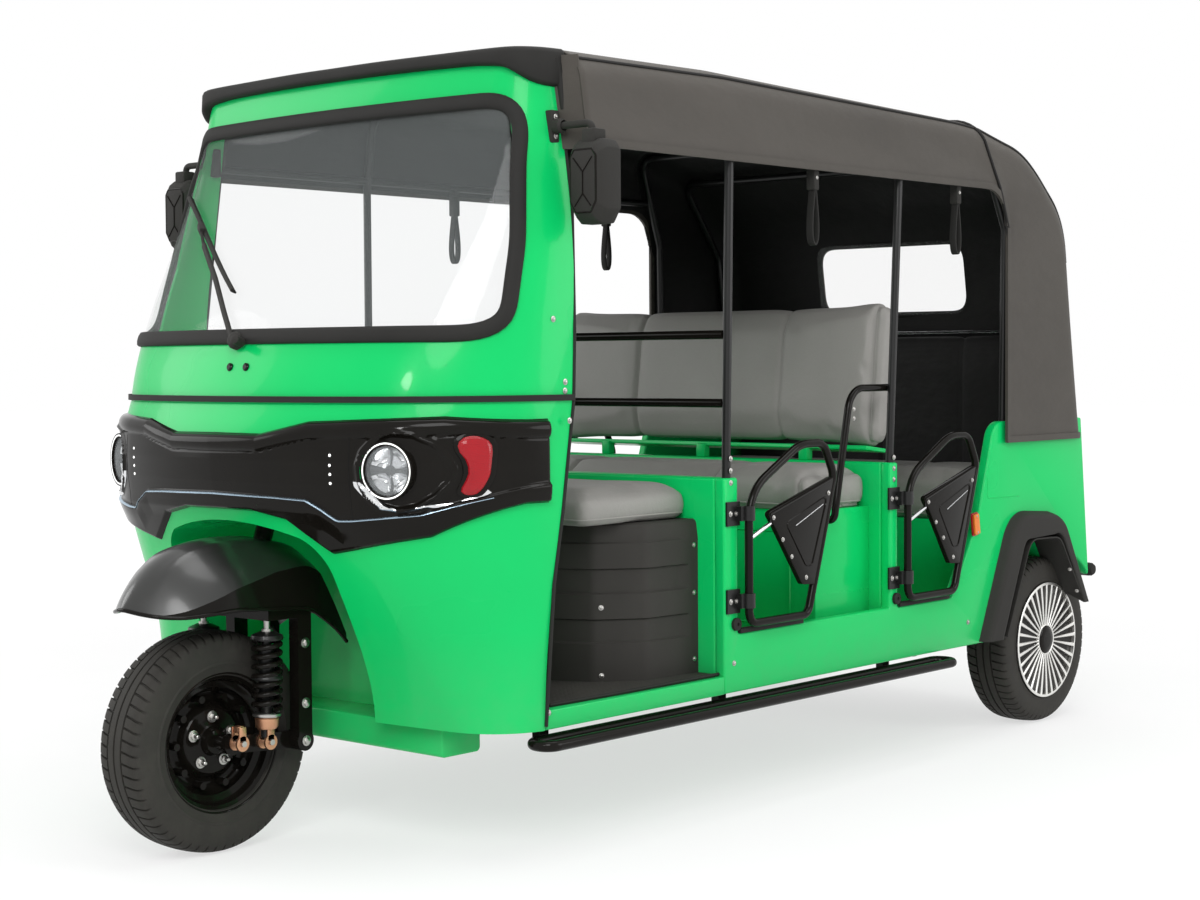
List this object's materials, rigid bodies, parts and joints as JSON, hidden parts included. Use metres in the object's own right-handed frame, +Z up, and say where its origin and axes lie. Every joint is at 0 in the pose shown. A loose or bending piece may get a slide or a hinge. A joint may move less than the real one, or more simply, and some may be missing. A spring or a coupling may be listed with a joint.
{
  "type": "three-wheeled auto rickshaw",
  "caption": "Long passenger auto rickshaw with a closed cab front, open sides with half doors, bench seats and a soft top.",
  "frame": {"origin": "on the ground, at the centre of the bounding box seen from above", "axes": "+X to the vehicle's left, +Y towards its rear, +Z up; it drives towards -Y"},
  "size_m": [1.576, 3.2299, 1.8398],
  "materials": {
    "body_green": "glossy",
    "black_steel": "satin",
    "gloss_black": "glossy",
    "black_plastic": "textured",
    "seat_vinyl": "satin",
    "canopy_fabric": "satin",
    "clear_glass": "clear",
    "black_rubber": "matt",
    "lamp_clear": "clear",
    "lamp_red": "glossy",
    "battery_case": "matt",
    "cast_iron": "painted",
    "tyre": "matt",
    "wheel_silver": "satin"
  },
  "bodies": {
    "body": {"chassis_frame": "black_steel", "front_cross_member": "body_green", "floor_pan": "body_green", "wheel_well": "body_green", "lower_cowl": "body_green", "upper_cab": "body_green", "windscreen": "clear_glass", "windscreen_seal": "black_rubber", "cab_roof": "black_plastic", "belt_moulding": "black_rubber", "front_mask": "gloss_black", "headlamps": "lamp_clear", "marker_lamps": "lamp_red", "dashboard": "black_plastic", "driver_seat_base": "black_plastic", "battery_pack": "battery_case", "driver_seat_cushion": "seat_vinyl", "bulkheads": "body_green", "side_panels": "body_green", "wheel_arch_flares": "black_plastic", "tail_panel": "body_green", "tail_lamps": "lamp_red", "rear_bumper": "black_steel", "mid_seat_base": "body_green", "mid_seat_cushion": "seat_vinyl", "mid_seat_back": "seat_vinyl", "backrest_board": "body_green", "rear_seat_base": "body_green", "rear_seat_cushion": "seat_vinyl", "rear_seat_back": "canopy_fabric", "canopy_top": "canopy_fabric", "canopy_rear": "canopy_fabric", "rear_window": "clear_glass", "canopy_frame": "black_steel", "grab_rails": "black_steel", "seat_guards": "black_steel", "side_steps": "black_steel", "mirrors": "black_plastic", "grab_straps": "black_rubber", "wiper": "black_plastic", "rear_axle": "cast_iron", "leaf_springs": "black_steel", "door_hinges": "black_steel"},
    "front_wheel": {"front_tyre": "tyre", "front_rim": "black_steel"},
    "rear_wheel_left": {"rear_tyre_left": "tyre", "rear_rim_left": "black_steel", "rear_cover_left": "wheel_silver"},
    "rear_wheel_right": {"rear_tyre_right": "tyre", "rear_rim_right": "black_steel", "rear_cover_right": "wheel_silver"},
    "steering": {"front_fork": "black_steel", "front_shocks": "black_steel", "front_mudguard": "gloss_black", "handlebar": "black_steel"},
    "front_door_left": {"front_door_left": "black_steel"},
    "front_door_right": {"front_door_right": "black_steel"},
    "rear_door_left": {"rear_door_left": "black_steel"},
    "rear_door_right": {"rear_door_right": "black_steel"}
  },
  "joints": [
    {"name": "steering_turn", "type": "hinge", "parent": "body", "child": "steering", "pos_m": [0, -1.211, 0.64], "axis": [0, 0.342, 0.9397], "range_deg": [-35, 35]},
    {"name": "front_wheel_spin", "type": "hinge", "parent": "steering", "child": "front_wheel", "pos_m": [0, -1.361, 0.254], "axis": [1, 0, 0], "continuous": true},
    {"name": "rear_wheel_left_spin", "type": "hinge", "parent": "body", "child": "rear_wheel_left", "pos_m": [0.565, 1.361, 0.254], "axis": [1, 0, 0], "continuous": true},
    {"name": "rear_wheel_right_spin", "type": "hinge", "parent": "body", "child": "rear_wheel_right", "pos_m": [-0.565, 1.361, 0.254], "axis": [1, 0, 0], "continuous": true},
    {"name": "front_door_left_hinge", "type": "hinge", "parent": "body", "child": "front_door_left", "pos_m": [0.69, -0.209, 0.6], "axis": [0, 0, -1], "range_deg": [0, 80]},
    {"name": "front_door_right_hinge", "type": "hinge", "parent": "body", "child": "front_door_right", "pos_m": [-0.69, -0.209, 0.6], "axis": [0, 0, 1], "range_deg": [0, 80]},
    {"name": "rear_door_left_hinge", "type": "hinge", "parent": "body", "child": "rear_door_left", "pos_m": [0.69, 0.507, 0.6], "axis": [0, 0, -1], "range_deg": [0, 80]},
    {"name": "rear_door_right_hinge", "type": "hinge", "parent": "body", "child": "rear_door_right", "pos_m": [-0.69, 0.507, 0.6], "axis": [0, 0, 1], "range_deg": [0, 80]}
  ]
}
